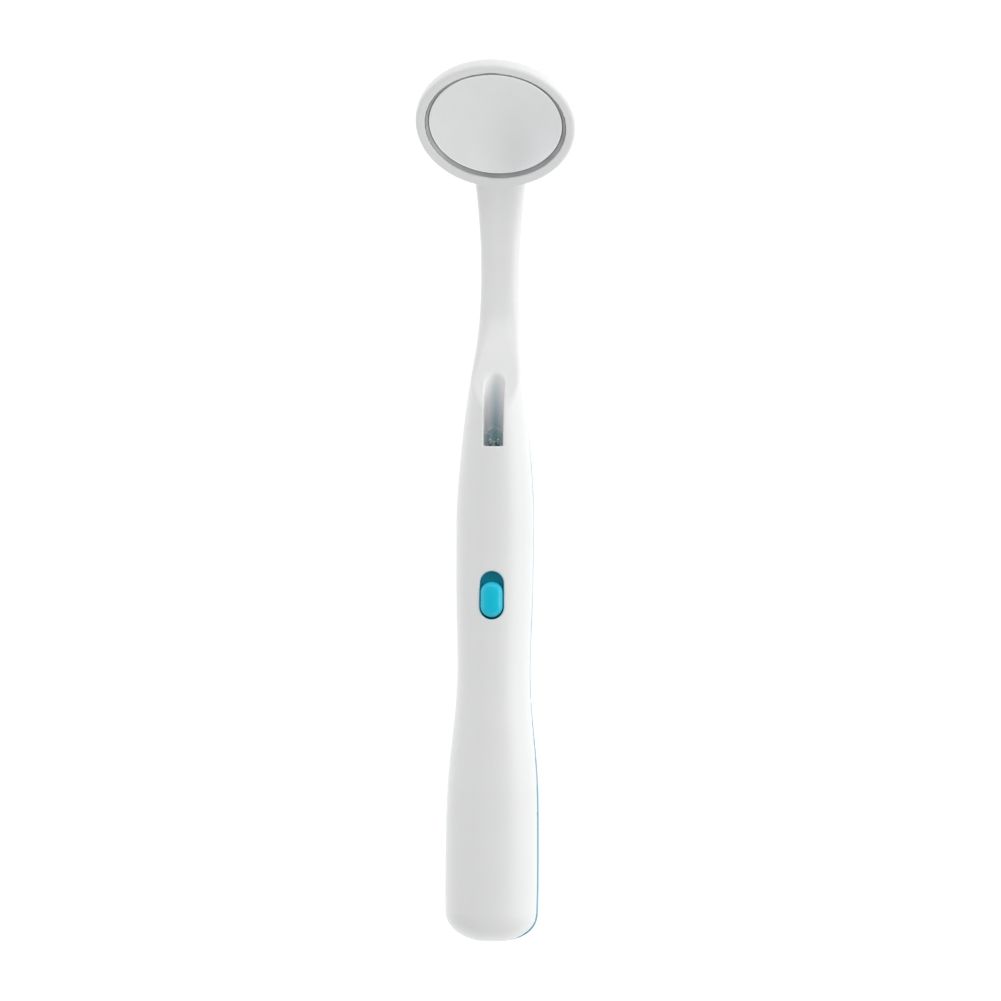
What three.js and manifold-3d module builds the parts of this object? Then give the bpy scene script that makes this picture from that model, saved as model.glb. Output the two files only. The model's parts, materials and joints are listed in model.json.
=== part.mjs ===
// Lighted mouth mirror: a battery handle with a slide switch, a lamp in a groove at the shoulder,
// an S-shaped neck and a round mirror set at an angle so that the lamp shines straight along the neck onto it.
// Millimetres. It lies on its back: +Z is the mirror and switch side, +Y runs towards the head, +X is across.
import * as THREE from "three";
import { mergeVertices } from "three/addons/utils/BufferGeometryUtils.js";
import Module from "manifold-3d";

const wasm = await Module();
wasm.setup();

// ---- driving dimensions -----------------------------------------------------------------------
const WALL = 1.4; // shell wall
const SEAM = 0.14; // shut line between two shells
const SHELL_STEPS = 36; // points round one cross-section of the shells

const HEAD_TILT = 45; // degrees between the mirror's normal and +Z
const HEAD_S = 152.07; // centre of the rim's front plane, from the butt end
const HEAD_Z = 16.4;
const RIM_R = 14.96; // outer radius of the head
const RIM_DROP = 0.955; // the half of the rim towards the neck is drawn out to RIM_R / RIM_DROP
const HEAD_T = 3.4; // thickness of the head
const RECESS_R = 13.15;
const RECESS_D = 2.4;
const MIRROR_R = 12.5;
const MIRROR_T = 1.49;
const MIRROR_DOWN = 0.56; // mirror face below the rim

const COVER_END = 45.0; // the battery cover reaches from the butt end to here
const LAMP_Z = 12.2; // axis of the lamp
const GROOVE_R = 1.85;
const GROOVE_Z = [10.2, 12.35]; // centre of the groove's round bottom at its closed end, and 13.7 mm further on
const GROOVE_S0 = 92.6; // closed end of the groove
const LAMP_R = 1.5;

const SLOT_S = [60.3, 69.3]; // switch slot
const SLOT_W = 4.5;
const KNOB_S = [60.7, 67.3];
const KNOB_W = 4.1;
const KNOB_TOP = 16.5;

const CELL_R = 5.25; // AAA cell in its jacket
const CELL_Z = 8.5;
const CELL_S = [6.0, 49.4];

const BOARD_S = [53.8, 87.2];
const BOARD_W = 9.2;
const BOARD_Z = [8.3, 9.3];

// Tables of [distance from the butt end, value].
const END = 5.8; // length of the rounded butt end
const HALF_WIDTH = [
  [5.8, 8.62], [11.5, 8.68], [17.1, 8.65], [22.7, 8.6], [28.3, 8.46], [33.9, 8.07], [39.5, 7.49],
  [45.1, 6.99], [50.8, 6.78], [56.4, 6.88], [62, 7.06], [67.6, 7.17], [73.2, 7.21], [78.8, 7.23],
  [84.4, 7.02], [90.1, 6.57], [95.7, 6.04], [101.3, 5.37], [106.9, 4.62], [112.5, 4.0], [118.1, 3.7],
  [123.7, 3.61], [129.4, 3.71], [135, 4.04], [141, 4.62], [144, 4.95], [147, 5.0], [150, 4.5],
  [153, 3.5], [155.3, 2.3], [157, 1.2],
];
const WIDEST_Z = [
  [0, 9], [95, 9], [100, 8.95], [104, 8.55], [107, 7.6], [110, 6.2], [112.5, 4.95], [115, 3.9],
  [118, 3.05], [122, 2.6], [127, 2.5], [131, 2.65], [135, 3.0], [138, 3.35], [141, 3.8], [144, 4.6],
  [147, 6.4], [150, 9.1], [153, 12.1], [155.3, 14.5], [157, 16.2],
];
const CROWN_Z = [
  [0, 16.6], [12, 16.7], [28, 16.7], [38, 16.35], [45, 16.0], [52, 15.85], [60, 15.8], [80, 15.8],
  [90, 15.6], [97, 15.5], [100, 15.3], [104, 14.5], [107, 13.2], [110, 11.0], [112.5, 8.9],
  [115, 7.3], [118, 6.25], [122, 5.75], [127, 5.6], [131, 5.65], [136, 5.85], [141, 6.2], [144, 6.5],
  [147, 7.6], [150, 10.3], [153, 13.2], [155.3, 15.5], [157, 16.8],
];
const BACK_Z = [
  [0, -0.4], [30, -0.4], [36, -0.05], [42, 0.55], [48, 1.1], [54, 1.3], [62, 1.2], [76, 0.9],
  [90, 0.8], [100, 0.75], [108, 0.5], [114, 0.2], [120, 0.03], [124, 0.0], [130, 0.1], [135, 0.5],
  [138, 0.9], [141, 1.45], [144, 2.3], [147, 4.5], [150, 7.5], [153, 10.7], [155.3, 13.6], [157, 15.9],
];
// The sloping plane that forms the neck's front and cuts the shoulder.
const CUT_Z = [
  [0, 26], [90, 17.6], [94, 17.1], [98, 15.95], [100.2, 14.95], [102, 13.75], [104, 12.2], [106.3, 10.5],
  [108.5, 9.2], [110, 8.4], [112.5, 7.25], [115, 6.35], [118, 5.62], [121, 5.2], [125, 5.0],
  [131, 5.0], [136, 5.2], [141, 5.65], [144, 6.5], [147, 8.6], [150, 11.6], [157, 20],
];
// Height of the seam between the white front and the blue back.
const SEAM_Z = [
  [-3, 10.4], [20, 10.4], [30, 10.05], [38, 9.4], [45, 9.0], [60, 8.9], [84, 8.85], [92, 8.3],
  [100, 6.8], [106, 4.5], [111, 1.9], [114.5, -0.6],
];

// ---- small helpers ----------------------------------------------------------------------------
// Smooth curve through a table, without overshoot.
function at(table, s) {
  const n = table.length;
  if (s <= table[0][0]) return table[0][1];
  if (s >= table[n - 1][0]) return table[n - 1][1];
  let i = 0;
  while (table[i + 1][0] < s) i++;
  const slope = (j) => (table[j + 1][1] - table[j][1]) / (table[j + 1][0] - table[j][0]);
  const tangent = (j) => {
    if (j === 0) return slope(0);
    if (j === n - 1) return slope(n - 2);
    const a = slope(j - 1), b = slope(j);
    return a * b <= 0 ? 0 : (2 * a * b) / (a + b);
  };
  const h = table[i + 1][0] - table[i][0];
  const t = (s - table[i][0]) / h;
  return (
    (2 * t ** 3 - 3 * t ** 2 + 1) * table[i][1] +
    (t ** 3 - 2 * t ** 2 + t) * h * tangent(i) +
    (-2 * t ** 3 + 3 * t ** 2) * table[i + 1][1] +
    (t ** 3 - t ** 2) * h * tangent(i + 1)
  );
}

const smoothMin = (a, b, k) => {
  const h = Math.min(1, Math.max(0, 0.5 + (0.5 * (b - a)) / k));
  return b + (a - b) * h - k * h * (1 - h);
};

// One cross-section of the handle and neck at s, moved in by `inset`, as [x, z] points.
function section(s, inset, steps, start) {
  const from = start ?? 0;
  const end = (power) => {
    const u = Math.max(0, 1 - (s - from) / (END - from));
    return u >= 1 ? 0 : (1 - u ** power) ** (1 / power);
  };
  const a = (at(HALF_WIDTH, s) - inset) * end(2.5);
  const zw = at(WIDEST_Z, s);
  const front = (at(CROWN_Z, s) - inset - zw) * end(2.3);
  const back = (zw - at(BACK_Z, s) - inset) * end(2.5);
  const cut = at(CUT_Z, s) - inset;
  const blend = 0.7 + 1.3 * Math.min(1, Math.max(0, (s - 104) / 14));
  const n = 2.3 + 0.25 * Math.min(1, Math.max(0, (s - 100) / 18));
  const points = [];
  for (let i = 0; i < steps; i++) {
    const f = (2 * Math.PI * i) / steps;
    const c = Math.cos(f), d = Math.sin(f);
    const x = a * Math.sign(c) * (Math.abs(c) < 1e-9 ? 0 : Math.abs(c) ** (2 / n));
    let z = zw + (d > 0 ? front : back) * Math.sign(d) * (Math.abs(d) < 1e-9 ? 0 : Math.abs(d) ** (2 / n));
    if (d > 1e-9) z = smoothMin(z, cut, blend);
    if (inset === 0) z = Math.max(z, 0); // the flat land it lies on
    points.push([x, z]);
  }
  return points;
}

// A closed skin over cross-sections; a section of one point closes the end in a point.
function loft(stations) {
  const positions = [], index = [], rings = [];
  for (const { s, points } of stations) {
    rings.push({ from: positions.length / 3, count: points.length });
    for (const [x, z] of points) positions.push(x, s, z);
  }
  for (let i = 0; i + 1 < rings.length; i++) {
    const A = rings[i], B = rings[i + 1], n = Math.max(A.count, B.count);
    for (let k = 0; k < n; k++) {
      const a0 = A.from + (A.count > 1 ? k : 0), a1 = A.from + (A.count > 1 ? (k + 1) % n : 0);
      const b0 = B.from + (B.count > 1 ? k : 0), b1 = B.from + (B.count > 1 ? (k + 1) % n : 0);
      if (A.count > 1) index.push(a0, b0, a1);
      if (B.count > 1) index.push(a1, b0, b1);
    }
  }
  for (const [ring, flip] of [[rings[0], false], [rings[rings.length - 1], true]]) {
    if (ring.count === 1) continue;
    let x = 0, y = 0, z = 0;
    for (let k = 0; k < ring.count; k++) {
      x += positions[3 * (ring.from + k)];
      y += positions[3 * (ring.from + k) + 1];
      z += positions[3 * (ring.from + k) + 2];
    }
    const middle = positions.length / 3;
    positions.push(x / ring.count, y / ring.count, z / ring.count);
    for (let k = 0; k < ring.count; k++) {
      const p = ring.from + k, q = ring.from + ((k + 1) % ring.count);
      if (flip) index.push(q, p, middle);
      else index.push(p, q, middle);
    }
  }
  const g = new THREE.BufferGeometry();
  g.setAttribute("position", new THREE.Float32BufferAttribute(positions, 3));
  g.setIndex(index);
  return g;
}

// three.js geometry to a manifold-3d solid and back.
function solid(geometry) {
  const g = geometry.clone();
  for (const name of Object.keys(g.attributes)) if (name !== "position") g.deleteAttribute(name);
  const merged = mergeVertices(g, 1e-4);
  const m = new wasm.Manifold(
    new wasm.Mesh({
      numProp: 3,
      vertProperties: new Float32Array(merged.attributes.position.array),
      triVerts: new Uint32Array(merged.index.array),
    }),
  );
  if (m.volume() > 0) return m;
  const flipped = new Uint32Array(merged.index.array);
  for (let i = 0; i < flipped.length; i += 3) [flipped[i + 1], flipped[i + 2]] = [flipped[i + 2], flipped[i + 1]];
  return new wasm.Manifold(
    new wasm.Mesh({ numProp: 3, vertProperties: new Float32Array(merged.attributes.position.array), triVerts: flipped }),
  );
}
function shape(m) {
  const mesh = m.getMesh();
  const g = new THREE.BufferGeometry();
  g.setAttribute("position", new THREE.Float32BufferAttribute(mesh.vertProperties, 3));
  g.setIndex(new THREE.BufferAttribute(new Uint32Array(mesh.triVerts), 1));
  const flat = g.toNonIndexed();
  flat.computeVertexNormals();
  return flat;
}
// A box from its lowest and highest corners: x, s (along the length), z.
function box(x0, x1, s0, s1, z0, z1) {
  return new THREE.BoxGeometry(x1 - x0, s1 - s0, z1 - z0).translate((x0 + x1) / 2, (s0 + s1) / 2, (z0 + z1) / 2);
}
// A cylinder along the length.
function rod(r, s0, s1, x, z, sides = 24, r1 = r) {
  return new THREE.CylinderGeometry(r1, r, s1 - s0, sides, 1).translate(x, (s0 + s1) / 2, z);
}
// A turned piece about an axis along the length: [radius, s] points.
function turned(profile, x, z, sides = 28) {
  return new THREE.LatheGeometry(profile.map(([r, s]) => new THREE.Vector2(r, s)), sides).translate(x, 0, z);
}
// An outline in the s-z plane, extruded across X from x0 to x1.
function side(outline, x0, x1) {
  const g = new THREE.ExtrudeGeometry(new THREE.Shape(outline.map(([s, z]) => new THREE.Vector2(s, z))), {
    depth: x1 - x0,
    bevelEnabled: false,
    curveSegments: 8,
  });
  // shape x -> Y, shape y -> Z, extrusion -> X
  const m = new THREE.Matrix4().set(0, 0, 1, x0, 1, 0, 0, 0, 0, 1, 0, 0, 0, 0, 0, 1);
  return g.applyMatrix4(m);
}
// A stadium in plan, long along s, extruded up from z0 to z1 with a rounded top of radius `round`.
function stadium(width, s0, s1, z0, z1, round = 0, segments = 10) {
  const r = width / 2, o = new THREE.Shape();
  o.moveTo(r - round, s0 + r);
  o.lineTo(r - round, s1 - r);
  o.absarc(0, s1 - r, r - round, 0, Math.PI, false);
  o.lineTo(-(r - round), s0 + r);
  o.absarc(0, s0 + r, r - round, Math.PI, 2 * Math.PI, false);
  const g = new THREE.ExtrudeGeometry(o, {
    depth: z1 - z0 - (round ? round : 0),
    bevelEnabled: round > 0,
    bevelThickness: round,
    bevelSize: round,
    bevelSegments: round ? 4 : 0,
    curveSegments: segments,
  });
  return g.translate(0, 0, z0);
}

const whole = new THREE.Group();
const along = new THREE.Group(); // distances along the length are from the butt end
whole.add(along);
const head = new THREE.Group(); // +Y of this group is the mirror's normal
head.position.set(0, HEAD_S, HEAD_Z);
head.rotation.x = THREE.MathUtils.degToRad(90 + HEAD_TILT);
along.add(head);

function piece(group, name, geometry, colour, roughness, metalness) {
  const mesh = new THREE.Mesh(geometry, new THREE.MeshStandardMaterial({ color: colour, roughness, metalness }));
  mesh.name = name;
  group.add(mesh);
  return mesh;
}

// ---- shells -----------------------------------------------------------------------------------
const STATIONS = [
  0.1, 0.4, 0.95, 1.8, 3.0, 4.4, 6.2, 12, 18, 24, 30, 34, 38, 42, 46, 50, 56, 62, 70, 78, 84, 90, 95,
  98, 100, 102, 104, 106, 108, 110, 112.5, 115, 118, 121.5, 124, 129.5, 135, 138, 141, 144, 147, 150, 153, 155.3, 157,
];
const outerLoft = loft([
  { s: 0, points: [[0, at(WIDEST_Z, 0)]] },
  ...STATIONS.map((s) => ({ s, points: section(s, 0, SHELL_STEPS) })),
]);

// The head: a shallow round dish, with its front face in its own plane y = 0.
const arc = (cx, cy, r, from, to, n) =>
  Array.from({ length: n + 1 }, (_, i) => {
    const f = THREE.MathUtils.degToRad(from + ((to - from) * i) / n);
    return new THREE.Vector2(cx + r * Math.cos(f), cy + r * Math.sin(f));
  });
const BACK_ROUND = 1.95, FRONT_ROUND = 0.6;
const dish = new THREE.LatheGeometry(
  [
    new THREE.Vector2(0, -HEAD_T),
    new THREE.Vector2(7, -HEAD_T),
    ...arc(RIM_R - BACK_ROUND, -HEAD_T + BACK_ROUND, BACK_ROUND, -90, 0, 4),
    ...arc(RIM_R - FRONT_ROUND, -FRONT_ROUND, FRONT_ROUND, 0, 90, 2),
    new THREE.Vector2(RECESS_R + 0.2, 0),
    new THREE.Vector2(0, 0),
  ],
  48,
);
for (let i = 0, p = dish.attributes.position; i < p.count; i++) if (p.getZ(i) > 1e-6) p.setZ(i, p.getZ(i) / RIM_DROP);
const recess = new THREE.CylinderGeometry(RECESS_R, RECESS_R, RECESS_D + 2, 48).translate(0, -RECESS_D + (RECESS_D + 2) / 2, 0);
const placeHead = (g) => {
  head.updateMatrix();
  return g.clone().applyMatrix4(head.matrix);
};
const outer = solid(outerLoft).add(solid(placeHead(dish))).subtract(solid(placeHead(recess)));

// The origin is under the middle of the whole length.
along.position.y = -outer.boundingBox().max[1] / 2;

// The space inside the shells, in two lengths: the second stays under the lamp's groove.
const INSIDE = [1.75, 2.1, 2.9, 4.2, 6.2, 18, 30, 38, 46, 52, 62, 76, 86, 91.4];
const inside = loft([
  { s: WALL + 0.2, points: [[0, 9]] },
  ...INSIDE.map((s) => ({ s, points: section(s, WALL, 24, WALL + 0.2) })),
]);
const insideLow = loft([90.9, 94, 98, 101.5].map((s) => ({ s, points: section(s, WALL, 24) })));
const hollow = solid(inside).add(solid(insideLow).intersect(solid(box(-9, 9, 90, 103, 0, 7.0))));

// Everything below the seam, as a prism, with half the shut line taken off or added. The seam is straight
// between fixed stations, so that both sides of it follow the same line.
const SEAM_STEPS = [-5, 20, 24, 28, 32, 36, 40, 45, 52, 84, 88, 92, 96, 100, 103, 106, 108.5, 111, 114.5, 116];
function seamAt(s) {
  let i = 0;
  while (i < SEAM_STEPS.length - 2 && SEAM_STEPS[i + 1] < s) i++;
  const a = SEAM_STEPS[i], b = SEAM_STEPS[i + 1];
  return at(SEAM_Z, a) + ((s - a) / (b - a)) * (at(SEAM_Z, b) - at(SEAM_Z, a));
}
function belowSeam(s0, s1, shift) {
  const stations = [s0, ...SEAM_STEPS.filter((s) => s > s0 + 0.01 && s < s1 - 0.01), s1];
  const outline = [[s0, -6], [s1, -6], ...stations.reverse().map((s) => [s, seamAt(s) + shift])];
  return solid(side(outline, -20, 20));
}
// The groove has a round bottom that rises from the lamp to the front of the shoulder.
const GROOVE_RISE = (GROOVE_Z[1] - GROOVE_Z[0]) / 13.7;
const grooveRod = rod(GROOVE_R, -8, 26, 0, 0, 20).rotateX(Math.atan(GROOVE_RISE)).translate(0, GROOVE_S0, GROOVE_Z[0]);
const grooveAbove = side([[GROOVE_S0, GROOVE_Z[0]], [114, GROOVE_Z[0] + (114 - GROOVE_S0) * GROOVE_RISE], [114, 24], [GROOVE_S0, 24]], -GROOVE_R, GROOVE_R);
const groove = solid(grooveRod).intersect(solid(box(-5, 5, GROOVE_S0, 114, 2, 24))).add(solid(grooveAbove));
const lampHole = solid(rod(LAMP_R + 0.14, 90, GROOVE_S0 + 1, 0, LAMP_Z, 24));
const slot = solid(stadium(SLOT_W, SLOT_S[0], SLOT_S[1], 11, 20));

const frontShell = outer
  .subtract(belowSeam(-4, 114.4, SEAM / 2))
  .subtract(hollow)
  .subtract(groove)
  .subtract(lampHole)
  .subtract(slot);
piece(along, "front_shell", shape(frontShell), 0xeceeee, 0.3, 0);

const grips = [36.5, 38.3, 40.1, 41.9].map((s) =>
  solid(new THREE.CylinderGeometry(0.5, 0.5, 7, 10).rotateZ(Math.PI / 2).translate(0, s, at(BACK_Z, s) - 0.08)),
);
let cover = outer.intersect(belowSeam(-3, COVER_END, -SEAM / 2)).subtract(hollow);
for (const g of grips) cover = cover.subtract(g);
piece(along, "battery_cover", shape(cover), 0x2fa3cf, 0.35, 0);

const rearShell = outer.intersect(belowSeam(COVER_END + SEAM, 114.4, -SEAM / 2)).subtract(hollow);
piece(along, "rear_shell", shape(rearShell), 0x2fa3cf, 0.35, 0);

// ---- mirror -----------------------------------------------------------------------------------
const P = (r, y) => new THREE.Vector2(r, y);
const floor = -RECESS_D;
piece(head, "mirror_adhesive_pad", new THREE.CylinderGeometry(MIRROR_R - 0.6, MIRROR_R - 0.6, 0.25, 48).translate(0, floor + 0.05 + 0.125, 0), 0xd9d4c4, 0.9, 0);
piece(
  head,
  "mirror_glass",
  new THREE.LatheGeometry(
    [P(0, -MIRROR_DOWN - MIRROR_T), P(MIRROR_R, -MIRROR_DOWN - MIRROR_T), P(MIRROR_R, -MIRROR_DOWN - 0.2), P(MIRROR_R - 0.2, -MIRROR_DOWN), P(0, -MIRROR_DOWN)],
    48,
  ),
  0xd5d7d8, 0.04, 1,
);
piece(
  head,
  "mirror_seal_ring",
  new THREE.LatheGeometry(
    [P(MIRROR_R + 0.08, floor + 0.08), P(RECESS_R - 0.07, floor + 0.08), P(RECESS_R - 0.07, -0.16), P(MIRROR_R + 0.34, -0.5), P(MIRROR_R + 0.08, -0.74), P(MIRROR_R + 0.08, floor + 0.08)],
    48,
  ),
  0x6e7274, 0.55, 0,
);

// ---- lamp -------------------------------------------------------------------------------------
const dome = Array.from({ length: 6 }, (_, i) => {
  const f = ((i + 1) * Math.PI) / 12;
  return [LAMP_R * Math.cos(f), 94.6 + LAMP_R * Math.sin(f)];
});
dome[dome.length - 1][0] = 0;
piece(
  along,
  "lamp_lens",
  turned(
    [[0, 93.9], [1.05, 93.9], [1.05, 88.4], [1.8, 88.4], [1.8, 89.4], [LAMP_R, 89.4], [LAMP_R, 94.6], ...dome],
    0, LAMP_Z, 28,
  ),
  0xe9edf0, 0.05, 0,
);
const lead = (tip) => [
  [86.5, 9.4], [87.0, 9.4], [87.0, LAMP_Z - 0.25], [tip, LAMP_Z - 0.25], [tip, LAMP_Z + 0.25], [86.5, LAMP_Z + 0.25],
];
const cup = solid(
  turned([[0, 92.55], [0.4, 92.55], [0.4, 93.35], [0.34, 93.35], [0.18, 93.0], [0, 93.0]], -0.1, LAMP_Z, 16),
);
piece(
  along,
  "lamp_cathode_lead",
  shape(solid(side(lead(92.0), -0.95, -0.5)).add(solid(box(-0.95, 0.25, 91.7, 92.6, LAMP_Z - 0.25, LAMP_Z + 0.25))).add(cup)),
  0xb9bcc0, 0.3, 1,
);
piece(along, "lamp_anode_lead", side(lead(92.9), 0.5, 0.92), 0xb9bcc0, 0.3, 1);
piece(along, "lamp_chip", rod(0.15, 93.03, 93.2, -0.1, LAMP_Z, 10), 0xe8c23a, 0.6, 0);
const saddle = solid(box(-2.7, 2.7, 89.7, 91.2, 8.3, 12.0)).subtract(solid(rod(LAMP_R + 0.1, 89, 92, 0, LAMP_Z, 24)));
piece(along, "lamp_holder", shape(saddle), 0x2b2d30, 0.6, 0);

// ---- frame and board --------------------------------------------------------------------------
// The wall behind the battery, an octagon that clears the round corners of the shells.
const octagon = new THREE.Shape([[-5.1, 7.4], [-2.9, 4.3], [2.9, 4.3], [5.1, 7.4], [5.1, 10.3], [2.9, 13.3], [-2.9, 13.3], [-5.1, 10.3]].map(([x, z]) => new THREE.Vector2(x, -z)));
const bulkhead = new THREE.ExtrudeGeometry(octagon, { depth: 1.2, bevelEnabled: false }).rotateX(-Math.PI / 2).translate(0, 51.2, 0);
let frame = solid(box(-4.5, 4.5, 51.2, 91.2, 6.9, 8.1))
  .add(solid(bulkhead))
  .add(solid(box(-4.9, -4.7 + 0.4, 52, 88, 6.9, 7.9)))
  .add(solid(box(4.3, 4.9, 52, 88, 6.9, 7.9)))
  .add(solid(box(-3.9, 3.9, 56, 57, 4.4, 7.2)))
  .add(solid(box(-3.9, 3.9, 70, 71, 4.2, 7.2)))
  .add(solid(box(-3.9, 3.9, 84, 85, 4.2, 7.2)));
frame = frame.subtract(solid(box(-3.7, -1.5, 50, 54, 9.2, 10.2)));
piece(along, "inner_frame", shape(frame), 0xd8d8d2, 0.6, 0);

const board = new THREE.Shape();
{
  const w = BOARD_W / 2, [a, b] = BOARD_S, c = 0.8;
  board.moveTo(-w + c, a);
  board.lineTo(w - c, a);
  board.lineTo(w, a + c);
  board.lineTo(w, b - c);
  board.lineTo(w - c, b);
  board.lineTo(-w + c, b);
  board.lineTo(-w, b - c);
  board.lineTo(-w, a + c);
  for (const [x, s] of [[-3.6, 59], [3.6, 72.2]]) {
    const hole = new THREE.Path();
    hole.absarc(x, s, 0.5, 0, 2 * Math.PI, false);
    board.holes.push(hole);
  }
}
piece(
  along,
  "circuit_board",
  new THREE.ExtrudeGeometry(board, { depth: BOARD_Z[1] - BOARD_Z[0], bevelEnabled: false, curveSegments: 6 }).translate(0, 0, BOARD_Z[0]),
  0x1e6b43, 0.5, 0,
);
const TOP = BOARD_Z[1] + 0.06;
piece(
  along,
  "inductor",
  new THREE.LatheGeometry([P(0, TOP), P(2, TOP), P(2, TOP + 0.6), P(1.6, TOP + 0.7), P(1.6, TOP + 2.1), P(2, TOP + 2.2), P(2, TOP + 2.8), P(0, TOP + 2.8)], 24)
    .rotateX(Math.PI / 2)
    .translate(0, 80.4, 0),
  0x3b3e42, 0.5, 0.2,
);
piece(along, "driver_chip", box(-1.5, 1.5, 73.6, 75.3, TOP, TOP + 1.1), 0x1c1d1f, 0.5, 0);
piece(along, "capacitor", box(-3.6, -2.4, 76.2, 78.2, TOP, TOP + 1.0), 0xb48a58, 0.5, 0);
piece(along, "resistor", box(2.5, 3.3, 83.6, 85.2, TOP, TOP + 0.5), 0x202124, 0.5, 0);

// ---- switch -----------------------------------------------------------------------------------
const can = solid(box(-2.2, 2.2, 60.4, 69.0, TOP + 0.04, 11.9))
  .subtract(solid(box(-1.8, 1.8, 60.8, 68.6, TOP + 0.4, 11.5)))
  .subtract(solid(box(-1.1, 1.1, 61.6, 67.8, 11, 13)));
piece(along, "switch_housing", shape(can), 0xa9adb2, 0.35, 1);
for (const [i, s] of [61.9, 64.7, 67.5].entries())
  piece(along, `switch_terminal_${i + 1}`, side([[s - 0.35, TOP], [s + 0.35, TOP], [s + 0.35, TOP + 1.1], [s - 0.35, TOP + 1.1]], 2.28, 2.9), 0xc9ccd0, 0.3, 1);
piece(along, "switch_wiper", side([[62.4, 9.9], [63.2, 9.86], [64.0, 10.5], [64.8, 9.86], [65.6, 9.9], [65.6, 10.1], [64.9, 10.1], [64.2, 10.75], [63.8, 10.75], [63.1, 10.1], [62.4, 10.1]], -0.7, 0.7), 0xc8a04a, 0.3, 1);
piece(along, "switch_actuator", box(-0.85, 0.85, 63.1, 64.9, 10.9, 12.4), 0x1b1c1e, 0.5, 0);
const flange = solid(box(-3.1, 3.1, 57.4, 70.6, 12.5, 13.2));
const boss = solid(stadium(KNOB_W, KNOB_S[0], KNOB_S[1], 13.7, KNOB_TOP, 0.7, 8));
piece(along, "switch_knob", shape(flange.add(boss)), 0x14b2cc, 0.35, 0);

// ---- battery and its contacts -------------------------------------------------------------------
const [C0, C1] = CELL_S;
piece(along, "battery_can", turned([[0, C0 + 0.1], [3.4, C0 + 0.1], [3.7, C0 + 0.3], [4.9, C0 + 0.3], [5.1, C0 + 0.6], [5.1, C1 - 0.4], [4.9, C1 - 0.1], [0, C1 - 0.1]], 0, CELL_Z, 32), 0xc7cacd, 0.3, 1);
piece(along, "battery_jacket", turned([[5.14, C0], [CELL_R, C0], [CELL_R, C1], [5.14, C1], [5.14, C0]], 0, CELL_Z, 32), 0x3f4850, 0.4, 0);
piece(along, "battery_insulator", turned([[2.3, C1 - 0.05], [4.4, C1 - 0.05], [4.4, C1 + 0.15], [2.3, C1 + 0.15], [2.3, C1 - 0.05]], 0, CELL_Z, 24), 0x8a5a3c, 0.8, 0);
piece(along, "battery_positive_cap", turned([[0, C1 - 0.04], [2.2, C1 - 0.04], [2.2, C1 + 0.16], [1.85, C1 + 0.2], [1.8, C1 + 0.9], [0, C1 + 1.0]], 0, CELL_Z, 20), 0xc7cacd, 0.25, 1);
piece(
  along,
  "positive_contact",
  shape(solid(box(-3.2, 3.2, 50.5, 50.8, 5.5, 11.5)).add(solid(box(-3.4, -1.8, 50.5, 56, 9.42, 9.67)))),
  0xd2c28a, 0.3, 1,
);
piece(
  along,
  "negative_contact",
  shape(
    solid(box(-3.3, 3.3, 2.6, 2.9, 5.2, 12.2))
      .add(solid(side([[2.6, 12.0], [4.65, 12.0], [4.65, 13.95], [53.15, 13.95], [53.15, 9.42], [54.6, 9.42], [54.6, 9.67], [53.4, 9.67], [53.4, 14.2], [4.4, 14.2], [4.4, 12.25], [2.6, 12.25]], -1.2, 1.2))),
  ),
  0xd2c28a, 0.3, 1,
);
// A conical coil: wide on the contact, narrow on the cell.
const turns = 3, perTurn = 14;
const coil = new THREE.CatmullRomCurve3(
  Array.from({ length: turns * perTurn + 1 }, (_, i) => {
    const t = i / (turns * perTurn), f = 2 * Math.PI * turns * t, r = 3.1 - 1.3 * t;
    return new THREE.Vector3(r * Math.cos(f), 3.2 + 2.4 * t, CELL_Z + r * Math.sin(f));
  }),
);
const wire = new THREE.Shape();
for (let i = 0; i < 6; i++) {
  const f = (i * Math.PI) / 3;
  wire[i ? "lineTo" : "moveTo"](0.26 * Math.cos(f), 0.26 * Math.sin(f));
}
wire.closePath();
piece(along, "negative_spring", new THREE.ExtrudeGeometry(wire, { steps: turns * perTurn, extrudePath: coil, bevelEnabled: false }), 0xbfc3c7, 0.3, 1);

export default whole;
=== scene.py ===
import json
import math

import bmesh
import bpy
import numpy as np
from mathutils import Matrix, Vector


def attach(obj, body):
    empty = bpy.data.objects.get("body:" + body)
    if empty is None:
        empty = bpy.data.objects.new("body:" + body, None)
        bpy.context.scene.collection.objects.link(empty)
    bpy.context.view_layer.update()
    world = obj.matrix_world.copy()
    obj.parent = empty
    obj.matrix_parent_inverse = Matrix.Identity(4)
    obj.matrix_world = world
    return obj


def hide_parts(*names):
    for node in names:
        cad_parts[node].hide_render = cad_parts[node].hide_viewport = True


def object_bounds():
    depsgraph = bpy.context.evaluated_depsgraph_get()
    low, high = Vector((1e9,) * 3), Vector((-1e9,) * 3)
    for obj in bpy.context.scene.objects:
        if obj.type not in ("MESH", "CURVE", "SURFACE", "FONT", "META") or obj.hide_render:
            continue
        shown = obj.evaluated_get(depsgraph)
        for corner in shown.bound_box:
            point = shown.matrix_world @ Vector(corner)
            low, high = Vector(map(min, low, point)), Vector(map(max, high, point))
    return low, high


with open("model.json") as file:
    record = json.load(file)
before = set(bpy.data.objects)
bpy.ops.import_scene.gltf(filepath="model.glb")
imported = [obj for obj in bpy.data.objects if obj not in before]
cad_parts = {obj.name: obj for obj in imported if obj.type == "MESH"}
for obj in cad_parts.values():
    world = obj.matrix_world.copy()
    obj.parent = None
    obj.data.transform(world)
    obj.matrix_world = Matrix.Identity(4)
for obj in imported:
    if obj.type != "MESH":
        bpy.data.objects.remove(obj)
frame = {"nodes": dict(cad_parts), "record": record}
cad_lo, cad_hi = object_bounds()
HALF = -cad_lo.y * 1000  # the butt end, in mm from the origin
MM = 0.001
scene = bpy.context.scene

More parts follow.
